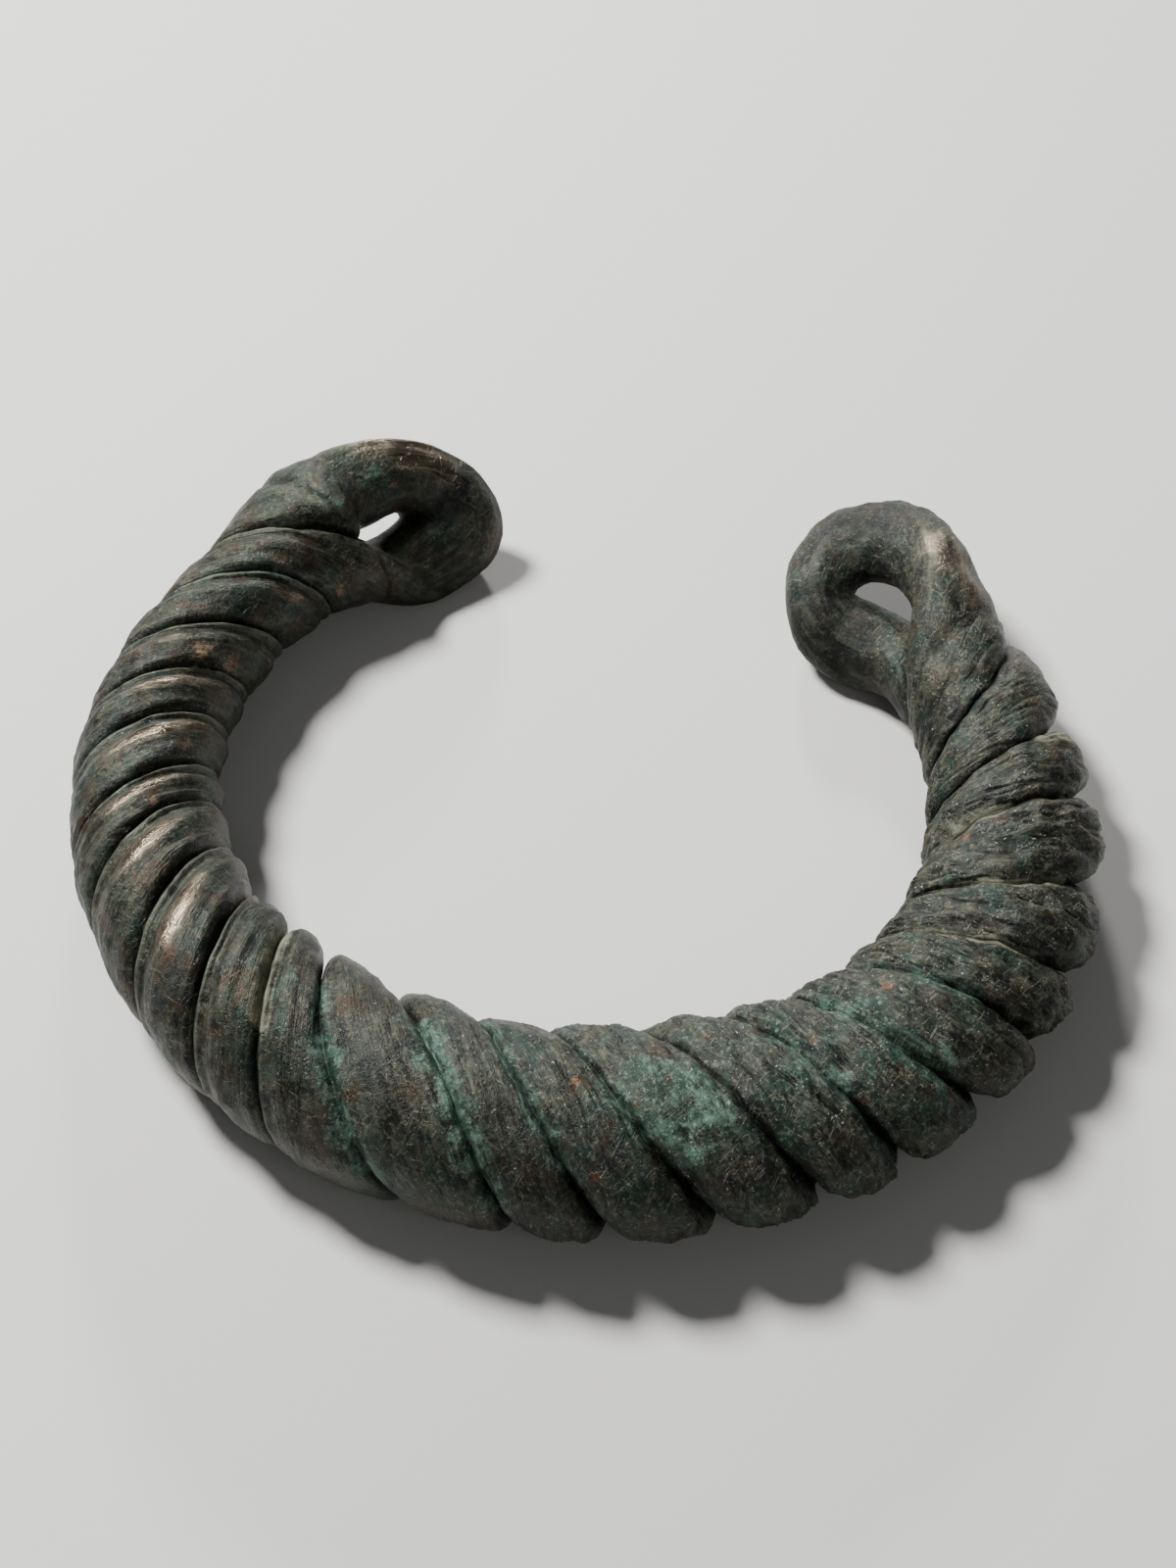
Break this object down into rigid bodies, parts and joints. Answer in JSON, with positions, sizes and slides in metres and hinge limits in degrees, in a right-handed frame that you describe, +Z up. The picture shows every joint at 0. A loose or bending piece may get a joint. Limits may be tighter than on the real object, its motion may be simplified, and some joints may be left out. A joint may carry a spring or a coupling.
{
  "type": "twisted bangle",
  "caption": "Solid bronze arm ring of two strands twisted together, open at the back, with a loop at each end.",
  "frame": {"origin": "on the ground under the middle of the ring's outline, the ring lying flat", "axes": "+Z up, +Y towards the open side between the two end loops, +X to the right seen from the closed side"},
  "size_m": [0.0842, 0.0748, 0.0144],
  "materials": {
    "bronze": "dark aged bronze with green patina"
  },
  "bodies": {
    "root": {"bangle": "bronze"}
  },
  "joints": []
}
